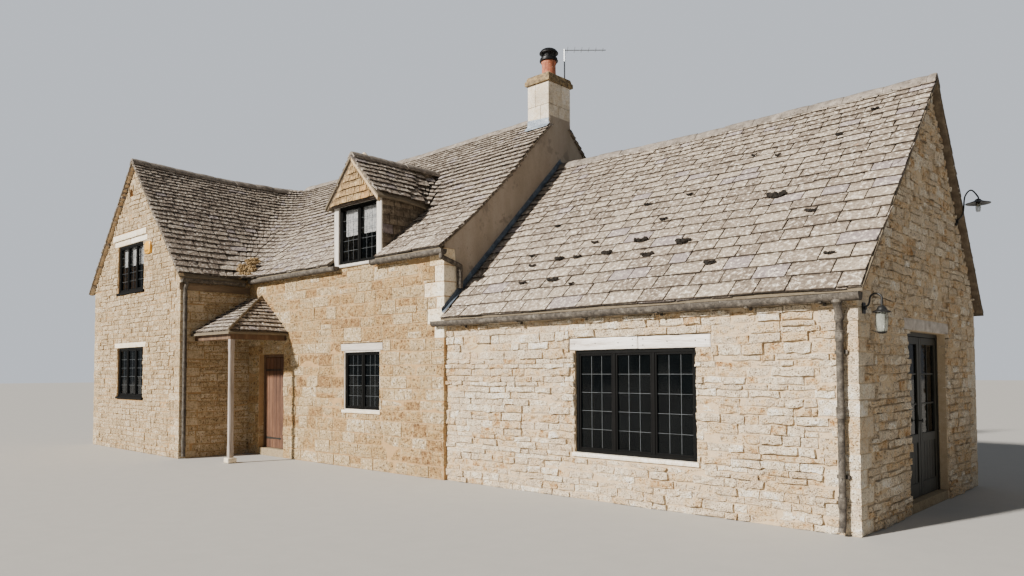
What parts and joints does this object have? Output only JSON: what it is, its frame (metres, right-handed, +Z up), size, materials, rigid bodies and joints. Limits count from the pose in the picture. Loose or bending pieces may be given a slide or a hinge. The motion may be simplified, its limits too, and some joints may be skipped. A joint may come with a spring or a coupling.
{
  "type": "stone cottage",
  "caption": "Limestone cottage with stone-slate roofs: gabled cross-wing, main range with dormer, low side wing, corner porch and hinged doors.",
  "frame": {"origin": "centre of the bounding box on the ground plane, inside the main range", "axes": "+Z up, +X along the length towards the east wing, +Y from the front wall to the rear"},
  "size_m": [18.307, 7.716, 8.155],
  "materials": {
    "rubble": "rough coursed limestone rubble",
    "ashlar": "sawn pale limestone",
    "render": "weathered cream lime render",
    "slate": "weathered limestone roof slates with lichen",
    "floor": "worn flagstones",
    "painted_timber": "old off-white paint",
    "oak": "brown stained oak",
    "window": "satin black paint",
    "black_metal": "matt black paint",
    "gutter_iron": "weathered grey-buff paint",
    "terracotta": "unglazed clay",
    "amber_plastic": "faded yellow plastic"
  },
  "bodies": {
    "cottage": {"wing_front_wall": "rubble", "wing_west_wall": "rubble", "wing_rear_wall": "rubble", "wing_east_wall": "rubble", "main_front_wall_left": "rubble", "main_wall_over_door": "rubble", "main_front_wall": "rubble", "main_rear_wall": "rubble", "main_gable_wall": "render", "east_front_wall": "rubble", "east_rear_wall": "rubble", "east_gable_wall_front": "rubble", "east_gable_wall_rear": "rubble", "east_wall_over_door": "rubble", "wing_upper_lintel": "ashlar", "wing_lower_lintel": "ashlar", "main_lintel": "painted_timber", "east_lintel": "painted_timber", "ground_floor": "floor", "upper_floor": "oak", "east_floor": "floor", "wing_roof": "slate", "main_roof": "slate", "east_roof": "slate", "dormer_frame": "painted_timber", "dormer_gable": "slate", "dormer_cheek_left": "slate", "dormer_cheek_right": "slate", "dormer_roof": "slate", "chimney_stack": "ashlar", "chimney_cap": "ashlar", "chimney_pot": "terracotta", "chimney_cowl": "black_metal", "ridge_vent": "ashlar", "aerial": "gutter_iron", "wing_upper_window": "window", "wing_lower_window": "window", "main_window": "window", "dormer_window": "window", "east_window": "window", "wing_rear_upper_window": "window", "wing_rear_lower_window": "window", "main_rear_window": "window", "front_door_frame": "oak", "gable_door_frame": "window", "porch_roof": "slate", "porch_plate": "painted_timber", "porch_post": "painted_timber", "main_gutter_left": "gutter_iron", "main_gutter_right": "gutter_iron", "wing_gutter": "gutter_iron", "east_gutter": "gutter_iron", "alarm_box": "amber_plastic", "gable_lantern_front": "black_metal", "gable_lantern_rear": "black_metal"},
    "front_leaf": {"front_door": "oak"},
    "gable_leaf_front": {"gable_door_front": "window"},
    "gable_leaf_rear": {"gable_door_rear": "window"}
  },
  "joints": [
    {"name": "front_door_hinge", "type": "hinge", "parent": "cottage", "child": "front_leaf", "pos_m": [-3.644, -2.058, 1.1], "axis": [0, 0, 1], "range_deg": [0, 90]},
    {"name": "gable_front_hinge", "type": "hinge", "parent": "cottage", "child": "gable_leaf_front", "pos_m": [8.544, -0.416, 1.15], "axis": [0, 0, 1], "range_deg": [0, 90]},
    {"name": "gable_rear_hinge", "type": "hinge", "parent": "cottage", "child": "gable_leaf_rear", "pos_m": [8.544, 1.11, 1.15], "axis": [0, 0, -1], "range_deg": [0, 90]}
  ]
}
